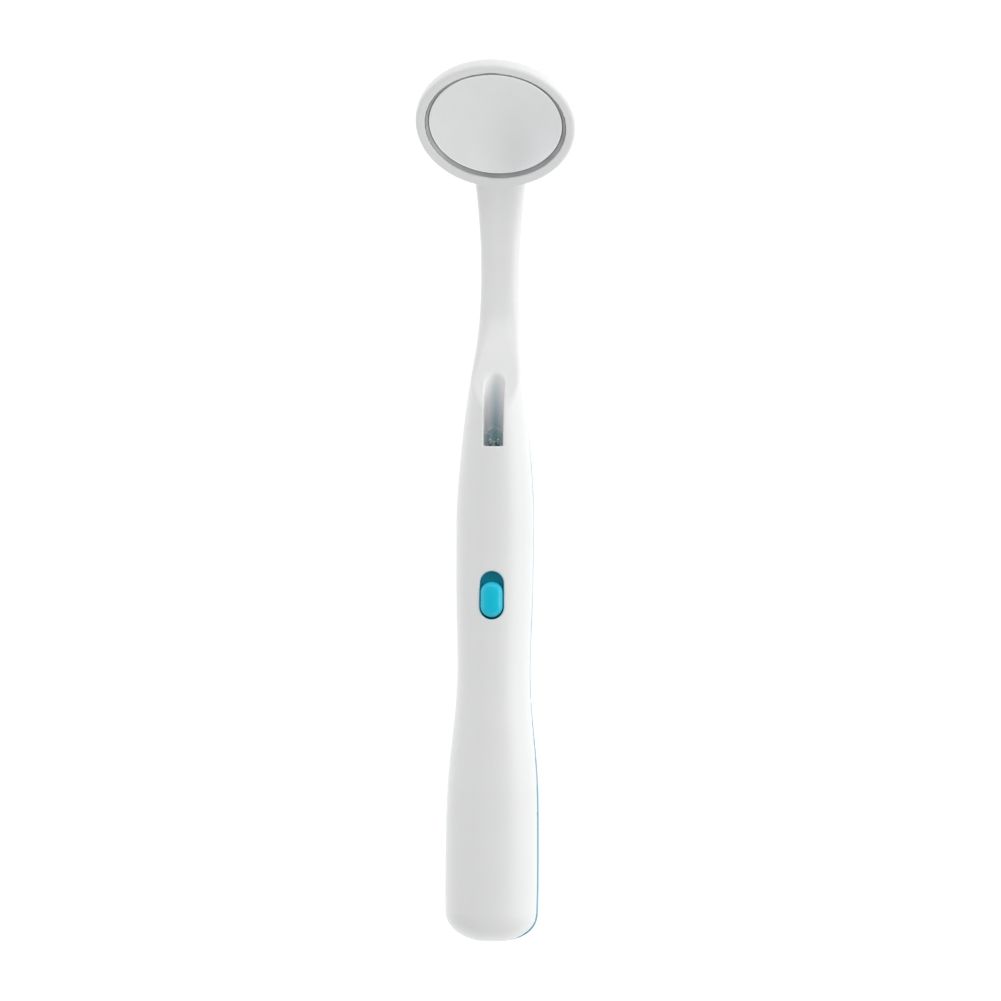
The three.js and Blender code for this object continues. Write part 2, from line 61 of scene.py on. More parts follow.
# ------------------------------------------------------------------------------------------------
# Camera: straight over the mirror side, turned 5 degrees towards +X, a long lens well back.
# ------------------------------------------------------------------------------------------------
YAW, ROLL = math.radians(5.0), math.radians(0.5)
FRAME_MM, DISTANCE_MM = 187.33, 1480.0
AIM = Vector((0.95, 82.47 - HALF, 9.0)) * MM
cam_data = bpy.data.cameras.new("camera")
cam = bpy.data.objects.new("camera", cam_data)
scene.collection.objects.link(cam)
cam_data.sensor_width = 36.0
cam_data.lens = 36.0 * DISTANCE_MM / FRAME_MM
back = Vector((math.sin(YAW), 0, math.cos(YAW)))
right = Vector((math.cos(YAW), 0, -math.sin(YAW)))
up = Vector((0, 1, 0))
rolled_right = right * math.cos(ROLL) + up * math.sin(ROLL)
rolled_up = up * math.cos(ROLL) - right * math.sin(ROLL)
m = Matrix((rolled_right, rolled_up, back)).transposed().to_4x4()
m.translation = AIM + back * DISTANCE_MM * MM
cam.matrix_world = m
cam_data.clip_start, cam_data.clip_end = 0.05, 20
scene.camera = cam

# ------------------------------------------------------------------------------------------------
# The design's tables: [mm from the butt end, value in mm].
# ------------------------------------------------------------------------------------------------
WALL, SEAM, END = 1.4, 0.14, 5.8
HEAD_TILT, HEAD_S, HEAD_Z = math.radians(45), 152.07, 16.4
RIM_R, RIM_DROP, HEAD_T, RECESS_R, RECESS_D = 14.96, 0.955, 3.4, 13.15, 2.4
MIRROR_R, MIRROR_T, MIRROR_DOWN = 12.5, 1.49, 0.56
COVER_END = 45.0
LAMP_Z, LAMP_R = 12.2, 1.5
GROOVE_R, GROOVE_S0 = 1.85, 92.6
GROOVE_A, GROOVE_B = (92.6, 10.2), (106.3, 12.35)
SLOT_S, SLOT_W = (60.3, 69.3), 4.5
KNOB_S, KNOB_W, KNOB_TOP = (60.7, 67.3), 4.16, 16.5
CELL_R, CELL_Z, CELL_S = 5.25, 8.5, (6.0, 49.4)

HALF_WIDTH = [
    (5.8, 8.62), (11.5, 8.68), (17.1, 8.65), (22.7, 8.6), (28.3, 8.46), (33.9, 8.07), (39.5, 7.49),
    (45.1, 6.99), (50.8, 6.78), (56.4, 6.88), (62, 7.06), (67.6, 7.17), (73.2, 7.21), (78.8, 7.23),
    (84.4, 7.02), (90.1, 6.57), (95.7, 6.04), (101.3, 5.37), (106.9, 4.62), (112.5, 4.0), (118.1, 3.7),
    (123.7, 3.61), (129.4, 3.71), (135, 4.04), (141, 4.62), (144, 4.95), (147, 5.0), (150, 4.5),
    (153, 3.5), (155.3, 2.3), (157, 1.2)]
WIDEST_Z = [
    (0, 9), (95, 9), (100, 8.95), (104, 8.55), (107, 7.6), (110, 6.2), (112.5, 4.95), (115, 3.9),
    (118, 3.05), (122, 2.6), (127, 2.5), (131, 2.65), (135, 3.0), (138, 3.35), (141, 3.8), (144, 4.6),
    (147, 6.4), (150, 9.1), (153, 12.1), (155.3, 14.5), (157, 16.2)]
CROWN_Z = [
    (0, 16.6), (12, 16.7), (28, 16.7), (38, 16.35), (45, 16.0), (52, 15.85), (60, 15.8), (80, 15.8),
    (90, 15.6), (97, 15.5), (100, 15.3), (104, 14.5), (107, 13.2), (110, 11.0), (112.5, 8.9),
    (115, 7.3), (118, 6.25), (122, 5.75), (127, 5.6), (131, 5.65), (136, 5.85), (141, 6.2), (144, 6.5),
    (147, 7.6), (150, 10.3), (153, 13.2), (155.3, 15.5), (157, 16.8)]
BACK_Z = [
    (0, -0.4), (30, -0.4), (36, -0.05), (42, 0.55), (48, 1.1), (54, 1.3), (62, 1.2), (76, 0.9),
    (90, 0.8), (100, 0.75), (108, 0.5), (114, 0.2), (120, 0.03), (124, 0.0), (130, 0.1), (135, 0.5),
    (138, 0.9), (141, 1.45), (144, 2.3), (147, 4.5), (150, 7.5), (153, 10.7), (155.3, 13.6), (157, 15.9)]
CUT_Z = [
    (0, 26), (90, 17.6), (94, 17.1), (98, 15.95), (100.2, 14.95), (102, 13.75), (104, 12.2), (106.3, 10.5),
    (108.5, 9.2), (110, 8.4), (112.5, 7.25), (115, 6.35), (118, 5.62), (121, 5.2), (125, 5.0),
    (131, 5.0), (136, 5.2), (141, 5.65), (144, 6.5), (147, 8.6), (150, 11.6), (157, 20)]
SEAM_Z = [
    (-3, 10.4), (20, 10.4), (30, 10.05), (38, 9.4), (45, 9.0), (60, 8.9), (84, 8.85), (92, 8.3),
    (100, 6.8), (106, 4.5), (111, 1.9), (114.5, -0.6)]


def curve(table):
    xs = np.array([r[0] for r in table], float)
    ys = np.array([r[1] for r in table], float)
    slope = np.diff(ys) / np.diff(xs)
    t = np.zeros(len(xs))
    t[0], t[-1] = slope[0], slope[-1]
    for i in range(1, len(xs) - 1):
        a, b = slope[i - 1], slope[i]
        t[i] = 0 if a * b <= 0 else 2 * a * b / (a + b)
    fine = np.linspace(xs[0], xs[-1], 4001)
    i = np.clip(np.searchsorted(xs, fine, side="right") - 1, 0, len(xs) - 2)
    h = xs[i + 1] - xs[i]
    u = (fine - xs[i]) / h
    v = ((2 * u**3 - 3 * u**2 + 1) * ys[i] + (u**3 - 2 * u**2 + u) * h * t[i]
         + (-2 * u**3 + 3 * u**2) * ys[i + 1] + (u**3 - u**2) * h * t[i + 1])
    # a light smoothing takes the last kinks in curvature out of the highlights
    k = np.hanning(81)
    k /= k.sum()
    pad = np.concatenate([np.full(40, v[0]), v, np.full(40, v[-1])])
    soft = np.convolve(pad, k, "valid")
    v[60:-60] = soft[60:-60]
    return lambda s: np.interp(s, fine, v)


half_width, widest, crown, backline, cutline, seamline = map(
    curve, (HALF_WIDTH, WIDEST_Z, CROWN_Z, BACK_Z, CUT_Z, SEAM_Z))


# ------------------------------------------------------------------------------------------------
# Shapes as distance-like functions of (x, s, z) in mm, joined and cut with real fillets.
# ------------------------------------------------------------------------------------------------
def r_and(a, b, r):
    """Intersection with a rounded edge of radius r."""
    return np.hypot(np.maximum(a + r, 0), np.maximum(b + r, 0)) + np.minimum(np.maximum(a, b), -r)


def r_or(a, b, r):
    """Union with a fillet of radius r."""
    return -r_and(-a, -b, r)


def r_cut(a, b, r):
    """a with b taken away, the lip rounded."""
    return r_and(a, -b, r)


def s_and(a, b, k):
    h = np.clip(0.5 + 0.5 * (a - b) / k, 0, 1)
    return b + (a - b) * h + k * h * (1 - h)


def body(x, s, z, inset=0.0, start=0.0):
    """The handle and neck as one solid, moved in by inset."""
    a = half_width(s) - inset
    zw = widest(s)
    front = crown(s) - inset - zw
    rear = zw - backline(s) - inset
    n = 2.3 + 0.25 * np.clip((s - 100) / 18, 0, 1)
    b = np.where(z > zw, front, rear)
    q = (np.abs(x / a) ** n + np.abs((z - zw) / b) ** n + 1e-12) ** (1 / n)
    u = np.clip((END - s) / (END - start), 0, None)
    # the butt end is a little rounder in plan at its left corner
    w = np.clip((-x - 0.5) / 6, 0, 1)
    p = 2.45 - 0.30 * w * w * (3 - 2 * w)
    big = (q**p + u**p) ** (1 / p)
    r = np.sqrt(x * x + (z - zw) ** 2 + (u * (END - start)) ** 2) + 1e-6
    f = r * (1 - 1 / np.maximum(big, 1e-4))
    k = 0.4 + 1.6 * np.clip((s - 103) / 13, 0, 1)
    steep = (cutline(s + 0.5) - cutline(s - 0.5))
    f = s_and(f, (z - cutline(s) + inset) / np.sqrt(1 + steep**2), k)
    f = np.maximum(f, (s - 157.6))
    if inset == 0:
        f = r_and(f, -z, 0.35)
    return f


def head_parts(x, s, z):
    dy, dz = s - HEAD_S, z - HEAD_Z
    c, d = math.cos(HEAD_TILT), math.sin(HEAD_TILT)
    h = -dy * d + dz * c
    v = dy * c + dz * d
    r = np.hypot(x, v)
    dish = r_and(r_and(np.hypot(x, np.where(v < 0, v * RIM_DROP, v)) - RIM_R, -(h + HEAD_T), 1.95), h, 0.62)
    recess = r_and(r - RECESS_R, -(h + RECESS_D), 0.12)
    recess = np.where(h > -RECESS_D, np.maximum(recess, -50), recess)
    return dish, recess, h, r


def outer(x, s, z):
    f = body(x, s, z)
    dish, recess, h, r = head_parts(x, s, z)
    f = np.where(s > 136, r_or(f, dish, 0.7), f)
    return np.where(s > 136, r_cut(f, recess, 0.22), f)


def hollow(x, s, z):
    a = np.maximum(body(x, s, z, WALL, WALL + 0.2), s - 91.4)
    b = np.maximum(np.maximum(body(x, s, z, WALL), z - 7.0), np.maximum(s - 101.5, 90.9 - s))
    return np.minimum(a, b)


def groove(x, s, z):
    """The lamp's groove: a round-bottomed channel that rises out of the shoulder."""
    g = (GROOVE_B[1] - GROOVE_A[1]) / (GROOVE_B[0] - GROOVE_A[0])
    axis = GROOVE_A[1] + g * (s - GROOVE_A[0])
    low = (z - axis) / math.sqrt(1 + g * g)
    u = np.where(low < 0, np.hypot(x, low), np.abs(x)) - GROOVE_R
    return r_and(u, GROOVE_S0 - s, 0.25)


def slot(x, s, z):
    r = SLOT_W / 2
    mid, half = (SLOT_S[0] + SLOT_S[1]) / 2, (SLOT_S[1] - SLOT_S[0]) / 2 - r
    d = np.hypot(x, np.maximum(np.abs(s - mid) - half, 0)) - r
    return np.maximum(d, 11 - z)


def seam_side(s, z, shift):
    """Positive below the seam."""
    g = seamline(s + 0.5) - seamline(s - 0.5)
    return (seamline(s) + shift - z) / np.sqrt(1 + g * g)


def front_shell(x, s, z):
    f = outer(x, s, z)
    # at one corner of the butt end it is a little rounder in plan than the battery cover
    w = np.clip((x - 0.5) / 6, 0, 1)
    w = w * w * (3 - 2 * w)
    p = 2.45 - 0.29 * w
    corner = (np.clip(np.abs(x) / 8.62, 0, 2) ** p + np.clip((5.8 - s) / 5.8, 0, 2) ** p + 1e-12) ** (1 / p)
    f = np.where(s < 6.5, s_and(f, (corner - 1.0) * 6.0 - 0.25 * (1 - w), 0.12), f)
    f = np.where(s < 116, r_and(f, seam_side(s, z, SEAM / 2), 0.16), f)
    f = np.where(s < 103, r_cut(f, hollow(x, s, z), 0.12), f)
    f = np.where((s > 88) & (s < 112), r_cut(f, groove(x, s, z), 0.32), f)
    lamp = np.hypot(x, z - LAMP_Z) - (LAMP_R + 0.14)
    f = np.where((s > 88) & (s < 95), r_cut(f, lamp, 0.1), f)
    return np.where((s > 56) & (s < 74), r_cut(f, slot(x, s, z), 0.34), f)


def rear_shell(x, s, z):
    f = r_and(outer(x, s, z), -seam_side(s, z, -SEAM / 2), 0.16)
    f = r_and(f, COVER_END + SEAM - s, 0.14)
    return r_cut(f, hollow(x, s, z), 0.12)


GRIPS = [36.5, 38.3, 40.1, 41.9]


def battery_cover(x, s, z):
    f = r_and(outer(x, s, z), -seam_side(s, z, -SEAM / 2), 0.16)
    f = r_and(f, s - COVER_END, 0.14)
    f = r_cut(f, hollow(x, s, z), 0.12)
    # four finger grooves across the back, running out at their ends
    for g in GRIPS:
        cutter = np.hypot(s - g, z - (backline(g) - 0.10)) - 0.52
        cutter = r_and(cutter, np.abs(x) - 3.5, 0.3)
        f = np.where((np.abs(s - g) < 2) & (z < 4), r_cut(f, cutter, 0.16), f)
    return f


def knob(x, s, z):
    r = KNOB_W / 2
    mid, half = (KNOB_S[0] + KNOB_S[1]) / 2, (KNOB_S[1] - KNOB_S[0]) / 2 - r
    e = np.hypot(x, np.maximum(np.abs(s - mid) - half, 0))
    d = e - r
    top = KNOB_TOP - 0.46 * (e / r) ** 2.0
    boss = r_and(r_and(d, z - top, 0.78), 12.8 - z, 0.05)
    flange = r_and(r_and(np.abs(x) - 3.1, np.abs(s - 64) - 6.6, 0.6), np.abs(z - 12.85) - 0.35, 0.12)
    return r_or(boss, flange, 0.15)


# ------------------------------------------------------------------------------------------------
# Surface nets: an even quad mesh of f = 0 on a rectilinear grid, then each point is drawn exactly
# onto the surface and given the surface's own normal.
# ------------------------------------------------------------------------------------------------
def grid_line(lo, hi, step, fine=()):
    """Points from lo to hi, step apart, or closer inside the fine ranges."""
    out, p = [lo], lo
    while p < hi:
        st = step
        for a, b, f in fine:
            if a <= p < b:
                st = min(st, f)
            elif a - 4 * step < p < a or b <= p < b + 4 * step:
                st = min(st, (f + step) / 2)
        p += st
        out.append(p)
    return np.array(out)


def surface(f, xs, ss, zs, name, steps=3):
    nx, ns, nz = len(xs), len(ss), len(zs)
    # coarse pass: which blocks can hold the surface
    B = 6
    values = np.full((nx, ns, nz), 9.0, np.float32)
    bx = [(i, min(i + B, nx - 1)) for i in range(0, nx - 1, B)]
    bs = [(i, min(i + B, ns - 1)) for i in range(0, ns - 1, B)]
    bz = [(i, min(i + B, nz - 1)) for i in range(0, nz - 1, B)]
    cx = np.array([(xs[a] + xs[b]) / 2 for a, b in bx])
    cs = np.array([(ss[a] + ss[b]) / 2 for a, b in bs])
    cz = np.array([(zs[a] + zs[b]) / 2 for a, b in bz])
    reach = 0.5 * math.sqrt(
        max(xs[b] - xs[a] for a, b in bx) ** 2 + max(ss[b] - ss[a] for a, b in bs) ** 2
        + max(zs[b] - zs[a] for a, b in bz) ** 2)
    C = np.meshgrid(cx, cs, cz, indexing="ij")
    near = np.abs(f(*[c.ravel() for c in C])).reshape(C[0].shape)
    hits = np.argwhere(near < reach * 2.2 + 0.5)
    inside = f(*[c.ravel() for c in C]).reshape(C[0].shape) < 0
    mask = np.zeros((nx, ns, nz), bool)
    for i, j, k in hits:
        mask[bx[i][0]:bx[i][1] + 1, bs[j][0]:bs[j][1] + 1, bz[k][0]:bz[k][1] + 1] = True
    # blocks away from the surface keep their sign
    for i, j, k in np.argwhere(inside & (near >= reach * 2.2 + 0.5)):
        values[bx[i][0]:bx[i][1] + 1, bs[j][0]:bs[j][1] + 1, bz[k][0]:bz[k][1] + 1] = -9.0
    at = np.argwhere(mask)
    got = np.empty(len(at), np.float32)
    for a in range(0, len(at), 400000):
        q = at[a:a + 400000]
        got[a:a + 400000] = f(xs[q[:, 0]], ss[q[:, 1]], zs[q[:, 2]])
    values[mask] = got
    v = values
    sign = v < 0
    cells = np.zeros((nx - 1, ns - 1, nz - 1), bool)
    c0 = sign[:-1, :-1, :-1]
    for di in (0, 1):
        for dj in (0, 1):
            for dk in (0, 1):
                cells |= sign[di:nx - 1 + di, dj:ns - 1 + dj, dk:nz - 1 + dk] != c0
    idx = np.argwhere(cells)
    number = np.full(cells.shape, -1, np.int64)
    number[tuple(idx.T)] = np.arange(len(idx))
    total = np.zeros((len(idx), 3))
    count = np.zeros(len(idx))
    corners = [(a, b, c) for a in (0, 1) for b in (0, 1) for c in (0, 1)]
    axes = (xs, ss, zs)
    for ca in corners:
        for axis in range(3):
            if ca[axis]:
                continue
            cb = list(ca)
            cb[axis] = 1
            ia = idx + np.array(ca)
            ib = idx + np.array(cb)
            va = v[tuple(ia.T)].astype(float)
            vb = v[tuple(ib.T)].astype(float)
            cross = (va < 0) != (vb < 0)
            t = np.where(cross, va / np.where(cross, va - vb, 1), 0)
            pa = np.stack([axes[d][ia[:, d]] for d in range(3)], 1)
            pb = np.stack([axes[d][ib[:, d]] for d in range(3)], 1)
            total += np.where(cross[:, None], pa + (pb - pa) * t[:, None], 0)
            count += cross
    points = total / count[:, None]
    faces = []
    for axis in range(3):
        sl_a = [slice(None)] * 3
        sl_b = [slice(None)] * 3
        sl_a[axis] = slice(0, -1)
        sl_b[axis] = slice(1, None)
        A, Bv = sign[tuple(sl_a)], sign[tuple(sl_b)]
        edges = np.argwhere(A != Bv)
        o1, o2 = [(1, 2), (2, 0), (0, 1)][axis]
        ok = (edges[:, o1] > 0) & (edges[:, o2] > 0)
        edges = edges[ok]
        ok = (edges[:, o1] < (nx, ns, nz)[o1] - 1) & (edges[:, o2] < (nx, ns, nz)[o2] - 1)
        edges = edges[ok]
        e1 = np.zeros(3, int)
        e1[o1] = 1
        e2 = np.zeros(3, int)
        e2[o2] = 1
        quad = np.stack([number[tuple((edges - e1 - e2).T)], number[tuple((edges - e2).T)],
                         number[tuple(edges.T)], number[tuple((edges - e1).T)]], 1)
        flip = ~A[tuple(edges.T)]
        quad[flip] = quad[flip][:, ::-1]
        faces.append(quad)
    quads = np.concatenate(faces)
    assert (quads >= 0).all(), name
    gaps = np.full(len(points), min(np.diff(xs).min(), np.diff(ss).min(), np.diff(zs).min()))

    def gradient(p, e=0.02):
        g = np.empty_like(p)
        for d in range(3):
            hi, lo = p.copy(), p.copy()
            hi[:, d] += e
            lo[:, d] -= e
            g[:, d] = (f(*hi.T) - f(*lo.T)) / (2 * e)
        return g

    start = points.copy()
    for _ in range(steps):
        g = gradient(points)
        move = -(f(*points.T) / np.maximum((g * g).sum(1), 0.05))[:, None] * g
        long = np.linalg.norm(move, axis=1)
        move *= np.minimum(1, 0.25 / np.maximum(long, 1e-9))[:, None]
        points = points + move
    away = points - start
    long = np.linalg.norm(away, axis=1)
    points = start + away * np.minimum(1, 0.45 / np.maximum(long, 1e-9))[:, None]
    normals = gradient(points, 0.03)
    normals /= np.maximum(np.linalg.norm(normals, axis=1), 1e-9)[:, None]
    return points, quads, normals


def mesh_from(points, quads, name, normals=None):
    """Points in mm from the butt end, as a mesh in the row's frame."""
    p = np.array(points, float)
    p[:, 1] -= HALF
    p *= MM
    me = bpy.data.meshes.new(name)
    me.vertices.add(len(p))
    me.vertices.foreach_set("co", p.astype(np.float32).ravel())
    quads = np.asarray(quads)
    n, w = quads.shape
    me.loops.add(n * w)
    me.loops.foreach_set("vertex_index", quads.astype(np.int32).ravel())
    me.polygons.add(n)
    me.polygons.foreach_set("loop_start", np.arange(0, n * w, w, dtype=np.int32))
    me.polygons.foreach_set("loop_total", np.full(n, w, np.int32))
    me.update(calc_edges=True)
    me.validate()
    me.polygons.foreach_set("use_smooth", np.ones(len(me.polygons), bool))
    if normals is not None and len(me.vertices) == len(normals):
        me.normals_split_custom_set_from_vertices([tuple(v) for v in normals])
    me.update()
    return me


def add(name, me, body_name, mat, *nodes, slot_name=None):
    ob = bpy.data.objects.new(name, me)
    scene.collection.objects.link(ob)
    ob.data.materials.clear()
    ob.data.materials.append(mat)
    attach(ob, body_name)
    if nodes:
        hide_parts(*nodes)
    return ob


def lathe(profile, sides, name, axis="s", centre=(0, 0), smooth=None, close=True):
    """A turned piece from (radius, along) points. axis s: along the length at (x, z) = centre;
    axis z: upright at (x, s); axis head: about the mirror's normal."""
    prof = [(r, h) for r, h in profile]
    bm = bmesh.new()
    rings = []
    for r, h in prof:
        if r < 1e-6:
            rings.append([bm.verts.new((0, 0, h))])
        else:
            rings.append([bm.verts.new((r * math.cos(2 * math.pi * i / sides), r * math.sin(2 * math.pi * i / sides), h))
                          for i in range(sides)])
    loop = rings + ([rings[0]] if close and len(rings[0]) > 1 and len(rings[-1]) > 1 else [])
    for a, b in zip(loop, loop[1:]):
        for i in range(sides):
            j = (i + 1) % sides
            if len(a) == 1 and len(b) == 1:
                break
            if len(a) == 1:
                bm.faces.new((a[0], b[j], b[i]))
            elif len(b) == 1:
                bm.faces.new((a[i], a[j], b[0]))
            else:
                bm.faces.new((a[i], a[j], b[j], b[i]))
    bmesh.ops.recalc_face_normals(bm, faces=bm.faces)
    if axis == "s":
        t = Matrix(((1, 0, 0, centre[0]), (0, 0, 1, 0), (0, 1, 0, centre[1]), (0, 0, 0, 1)))
    elif axis == "z":
        t = Matrix(((1, 0, 0, centre[0]), (0, 1, 0, centre[1]), (0, 0, 1, 0), (0, 0, 0, 1)))
    else:
        c, d = math.cos(HEAD_TILT), math.sin(HEAD_TILT)
        t = Matrix(((1, 0, 0, 0), (0, c, -d, HEAD_S), (0, d, c, HEAD_Z), (0, 0, 0, 1)))
    bm.transform(t)
    bm.transform(Matrix.Translation((0, -HALF, 0)))
    bm.transform(Matrix.Scale(MM, 4))
    bmesh.ops.recalc_face_normals(bm, faces=bm.faces)
    for f in bm.faces:
        f.smooth = True
    if smooth is not None:
        for e in bm.edges:
            if len(e.link_faces) == 2 and e.calc_face_angle(0) > math.radians(smooth):
                e.smooth = False
    me = bpy.data.meshes.new(name)
    bm.to_mesh(me)
    bm.free()
    return me


def arc(cx, cy, r, a0, a1, n):
    return [(cx + r * math.cos(math.radians(a0 + (a1 - a0) * i / n)), cy + r * math.sin(math.radians(a0 + (a1 - a0) * i / n)))
            for i in range(n + 1)]


# ------------------------------------------------------------------------------------------------
# Materials
# ------------------------------------------------------------------------------------------------
class Mat:
    def __init__(self, name, **kw):
        self.m = bpy.data.materials.new(name)
        self.m.use_nodes = True
        self.t = self.m.node_tree
        self.b = self.t.nodes["Principled BSDF"]
        for k, v in kw.items():
            self.b.inputs[k.replace("_", " ")].default_value = v
        self.tc = self.t.nodes.new("ShaderNodeTexCoord")
        self.map = self.t.nodes.new("ShaderNodeMapping")
        self.map.inputs["Scale"].default_value = (1000, 1000, 1000)  # millimetres
        self.t.links.new(self.tc.outputs["Object"], self.map.inputs["Vector"])
        self.p = self.map.outputs["Vector"]

    def node(self, kind, **kw):
        n = self.t.nodes.new(kind)
        for k, v in kw.items():
            setattr(n, k, v)
        return n

    def link(self, a, b):
        self.t.links.new(a, b)

    def noise(self, scale, detail=2.0, rough=0.5, stretch=None):
        src = self.p
        if stretch:
            mp = self.node("ShaderNodeMapping")
            mp.inputs["Scale"].default_value = stretch
            self.link(self.p, mp.inputs["Vector"])
            src = mp.outputs["Vector"]
        n = self.node("ShaderNodeTexNoise")
        n.inputs["Scale"].default_value = scale
        n.inputs["Detail"].default_value = detail
        n.inputs["Roughness"].default_value = rough
        self.link(src, n.inputs["Vector"])
        return n.outputs["Fac"]

    def ramp(self, fac, a, b, lo=0.0, hi=1.0):
        n = self.node("ShaderNodeMapRange")
        n.inputs["From Min"].default_value = a
        n.inputs["From Max"].default_value = b
        n.inputs["To Min"].default_value = lo
        n.inputs["To Max"].default_value = hi
        self.link(fac, n.inputs["Value"])
        return n.outputs["Result"]

    def math(self, op, a, b=None, c=None):
        n = self.node("ShaderNodeMath", operation=op)
        for i, v in enumerate((a, b, c)):
            if v is None:
                continue
            if isinstance(v, (int, float)):
                n.inputs[i].default_value = v
            else:
                self.link(v, n.inputs[i])
        return n.outputs[0]

    def mix(self, fac, a, b):
        n = self.node("ShaderNodeMix", data_type="RGBA")
        for i, v in ((0, fac), (6, a), (7, b)):
            if isinstance(v, (int, float)):
                n.inputs[i].default_value = v
            elif isinstance(v, tuple):
                n.inputs[i].default_value = (*v, 1) if len(v) == 3 else v
            else:
                self.link(v, n.inputs[i])
        return n.outputs[2]

    def xyz(self):
        n = self.node("ShaderNodeSeparateXYZ")
        self.link(self.p, n.inputs[0])
        return n.outputs

    def colour(self, out):
        self.link(out, self.b.inputs["Base Color"])

    def rough(self, out):
        self.link(out, self.b.inputs["Roughness"])

    def bump(self, height, strength, distance=0.0001):
        n = self.node("ShaderNodeBump")
        n.inputs["Strength"].default_value = strength
        n.inputs["Distance"].default_value = distance
        self.link(height, n.inputs["Height"])
        self.link(n.outputs["Normal"], self.b.inputs["Normal"])


def moulded(name, rgb, rough=0.3, vary=0.02, grain=0.10, scuff=0.06, ior=1.5, sub=0.0):
    """Moulded plastic: a fine satin grain, cloudy gloss, hair-fine scuffs."""
    k = Mat(name, IOR=ior)
    cloud = k.noise(0.12, 4, 0.6)
    c = k.mix(k.ramp(cloud, 0.3, 0.7), tuple(v * (1 - vary) for v in rgb), tuple(min(1, v * (1 + vary * 0.5)) for v in rgb))
    k.colour(c)
    fine = k.noise(7.0, 3, 0.6)
    hair = k.noise(1.6, 5, 0.7, stretch=(3.0, 0.25, 3.0))
    r = k.math("ADD", k.ramp(cloud, 0.25, 0.75, rough - 0.04, rough + 0.05), k.ramp(fine, 0.3, 0.7, -0.03, 0.03))
    r = k.math("ADD", r, k.ramp(hair, 0.62, 0.8, 0.0, scuff))
    k.rough(r)
    k.bump(k.math("ADD", k.math("MULTIPLY", fine, 1.0), k.math("MULTIPLY", hair, 0.5)), grain, 0.00004)
    if sub:
        k.b.inputs["Subsurface Weight"].default_value = sub
        k.b.inputs["Subsurface Radius"].default_value = (1.0, 0.95, 0.9)
        k.b.inputs["Subsurface Scale"].default_value = 0.0008
    return k


def metal(name, rgb, rough=0.3, brush=(1, 1, 1), grain=0.05):
    k = Mat(name, Metallic=1.0)
    cloud = k.noise(0.5, 4, 0.6)
    lines = k.noise(2.5, 4, 0.6, stretch=brush)
    k.colour(k.mix(k.ramp(cloud, 0.3, 0.7), tuple(v * 0.93 for v in rgb), rgb))
    k.rough(k.math("ADD", k.ramp(cloud, 0.3, 0.7, rough - 0.05, rough + 0.06), k.ramp(lines, 0.3, 0.7, -0.05, 0.05)))
    k.bump(lines, grain, 0.00003)
    return k


WHITE = (0.815, 0.818, 0.82)
BLUE = (0.022, 0.29, 0.46)
TEAL = (0.001, 0.56, 0.75)

white = moulded("white_abs", WHITE, rough=0.32, vary=0.012, grain=0.08, scuff=0.05, ior=1.49)
white.b.inputs["Specular IOR Level"].default_value = 0.36
# The floor of the lamp's groove is painted with a blue-grey shade, most along its middle and towards the lamp: painted
# shade standing in for the groove's shadowed depth.
x_, y_, z_ = white.xyz()
along = white.math("MULTIPLY", white.ramp(y_, 107.0 - HALF, 97.5 - HALF), white.ramp(y_, 92.2 - HALF, 92.6 - HALF))
middle = white.ramp(white.math("ABSOLUTE", white.math("ADD", x_, 0.1)), 1.35, 0.15)
floor_z = white.math("MULTIPLY_ADD", y_, 0.157, 10.2 - 0.157 * (92.6 - HALF) + 1.9)
under = white.ramp(white.math("SUBTRACT", floor_z, z_), 0.0, 1.6)
# painted shade: the blue-grey darkening of the groove floor, along its middle and towards the lamp
painted_groove_shade = white.math("MULTIPLY", white.math("MULTIPLY", along, middle), under)
old = white.b.inputs["Base Color"].links[0].from_socket
# Painted light: inside the groove, below the level of its lip, the white is painted paler, standing in for the light
# bounced between its walls.
painted_wall_light = white.math("MULTIPLY", white.ramp(y_, 107.0 - HALF, 103.0 - HALF), white.ramp(y_, 92.2 - HALF, 92.6 - HALF))
painted_wall_light = white.math("MULTIPLY", painted_wall_light, white.math("MULTIPLY", white.ramp(under, 0.1, 0.5), white.ramp(white.math("ABSOLUTE", x_), 2.4, 2.0)))
lit = white.mix(painted_wall_light, old, (0.93, 0.92, 0.93))
# mix in the painted blue-grey shade of the groove floor
white.colour(white.mix(white.math("MULTIPLY", painted_groove_shade, 0.95), lit, (0.42, 0.60, 0.65)))

blue = moulded("blue_abs", BLUE, rough=0.3, vary=0.05, grain=0.08, scuff=0.08)
teal = moulded("teal_button", TEAL, rough=0.34, vary=0.04, grain=0.10, scuff=0.06)

mirror = Mat("mirror_face", Metallic=1.0)
mirror.colour(mirror.mix(mirror.ramp(mirror.noise(0.08, 3, 0.5), 0.3, 0.7), (0.875, 0.878, 0.88), (0.885, 0.887, 0.888)))
smear = mirror.noise(0.35, 5, 0.65, stretch=(1.0, 0.35, 1.0))
mirror.rough(mirror.ramp(smear, 0.3, 0.8, 0.23, 0.28))
mirror.bump(mirror.noise(0.3, 2, 0.5), 0.01, 0.00001)

seal = moulded("grey_seal", (0.40, 0.405, 0.41), rough=0.5, vary=0.25, grain=0.3)

# ------------------------------------------------------------------------------------------------
# Shells
# ------------------------------------------------------------------------------------------------
H = 0.3
HF = 0.345
fine_x = (((-2.6, -1.4, 0.2), (1.4, 2.6, 0.2)))
fine_s = (((-0.3, 2.2, 0.24), (59.3, 62.2, 0.22), (67.2, 70.2, 0.22), (91.8, 93.6, 0.22), (103, 107, 0.25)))
xs = grid_line(-15.4, 15.4, HF, fine_x)
ss = grid_line(-0.7, HEAD_S + 12.9, HF * 1.09, fine_s)
zs = grid_line(-0.7, 27.3, H)
pts, quads, nrm = surface(front_shell, xs, ss, zs, "front_shell")
front = add("front_shell_skin", mesh_from(pts, quads, "front_shell_skin", nrm), "handle", white.m, "front_shell", slot_name="white_shell")
print("front", len(pts), len(quads))

